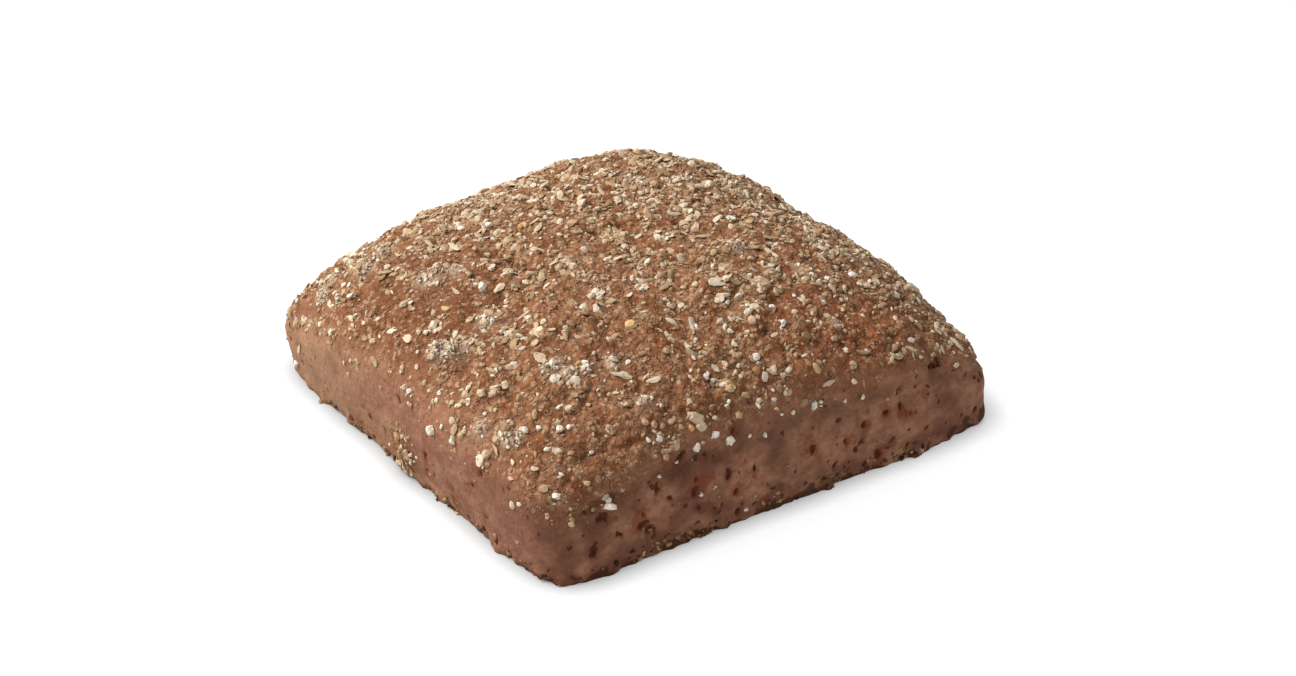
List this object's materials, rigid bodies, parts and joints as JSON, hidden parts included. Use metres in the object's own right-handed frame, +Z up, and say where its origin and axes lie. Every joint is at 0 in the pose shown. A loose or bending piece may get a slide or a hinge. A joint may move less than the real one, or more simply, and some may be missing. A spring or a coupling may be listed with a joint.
{
  "type": "rye roll",
  "caption": "Square-cut rye bread roll with a low domed top, upright cut sides and a flat underside; the dull brown crust is strewn with coarse rye meal",
  "frame": {"origin": "on the surface that the roll rests on, under the middle of its bounding box", "axes": "+Z is up through the dome; +X runs along the slightly longer side, and +Y across it, both parallel to the cut sides within three degrees"},
  "size_m": [0.0984, 0.088, 0.0315],
  "materials": {
    "rye_crust": null,
    "rye_meal": null
  },
  "bodies": {
    "root": {"rye_roll": "rye_crust"}
  },
  "joints": []
}
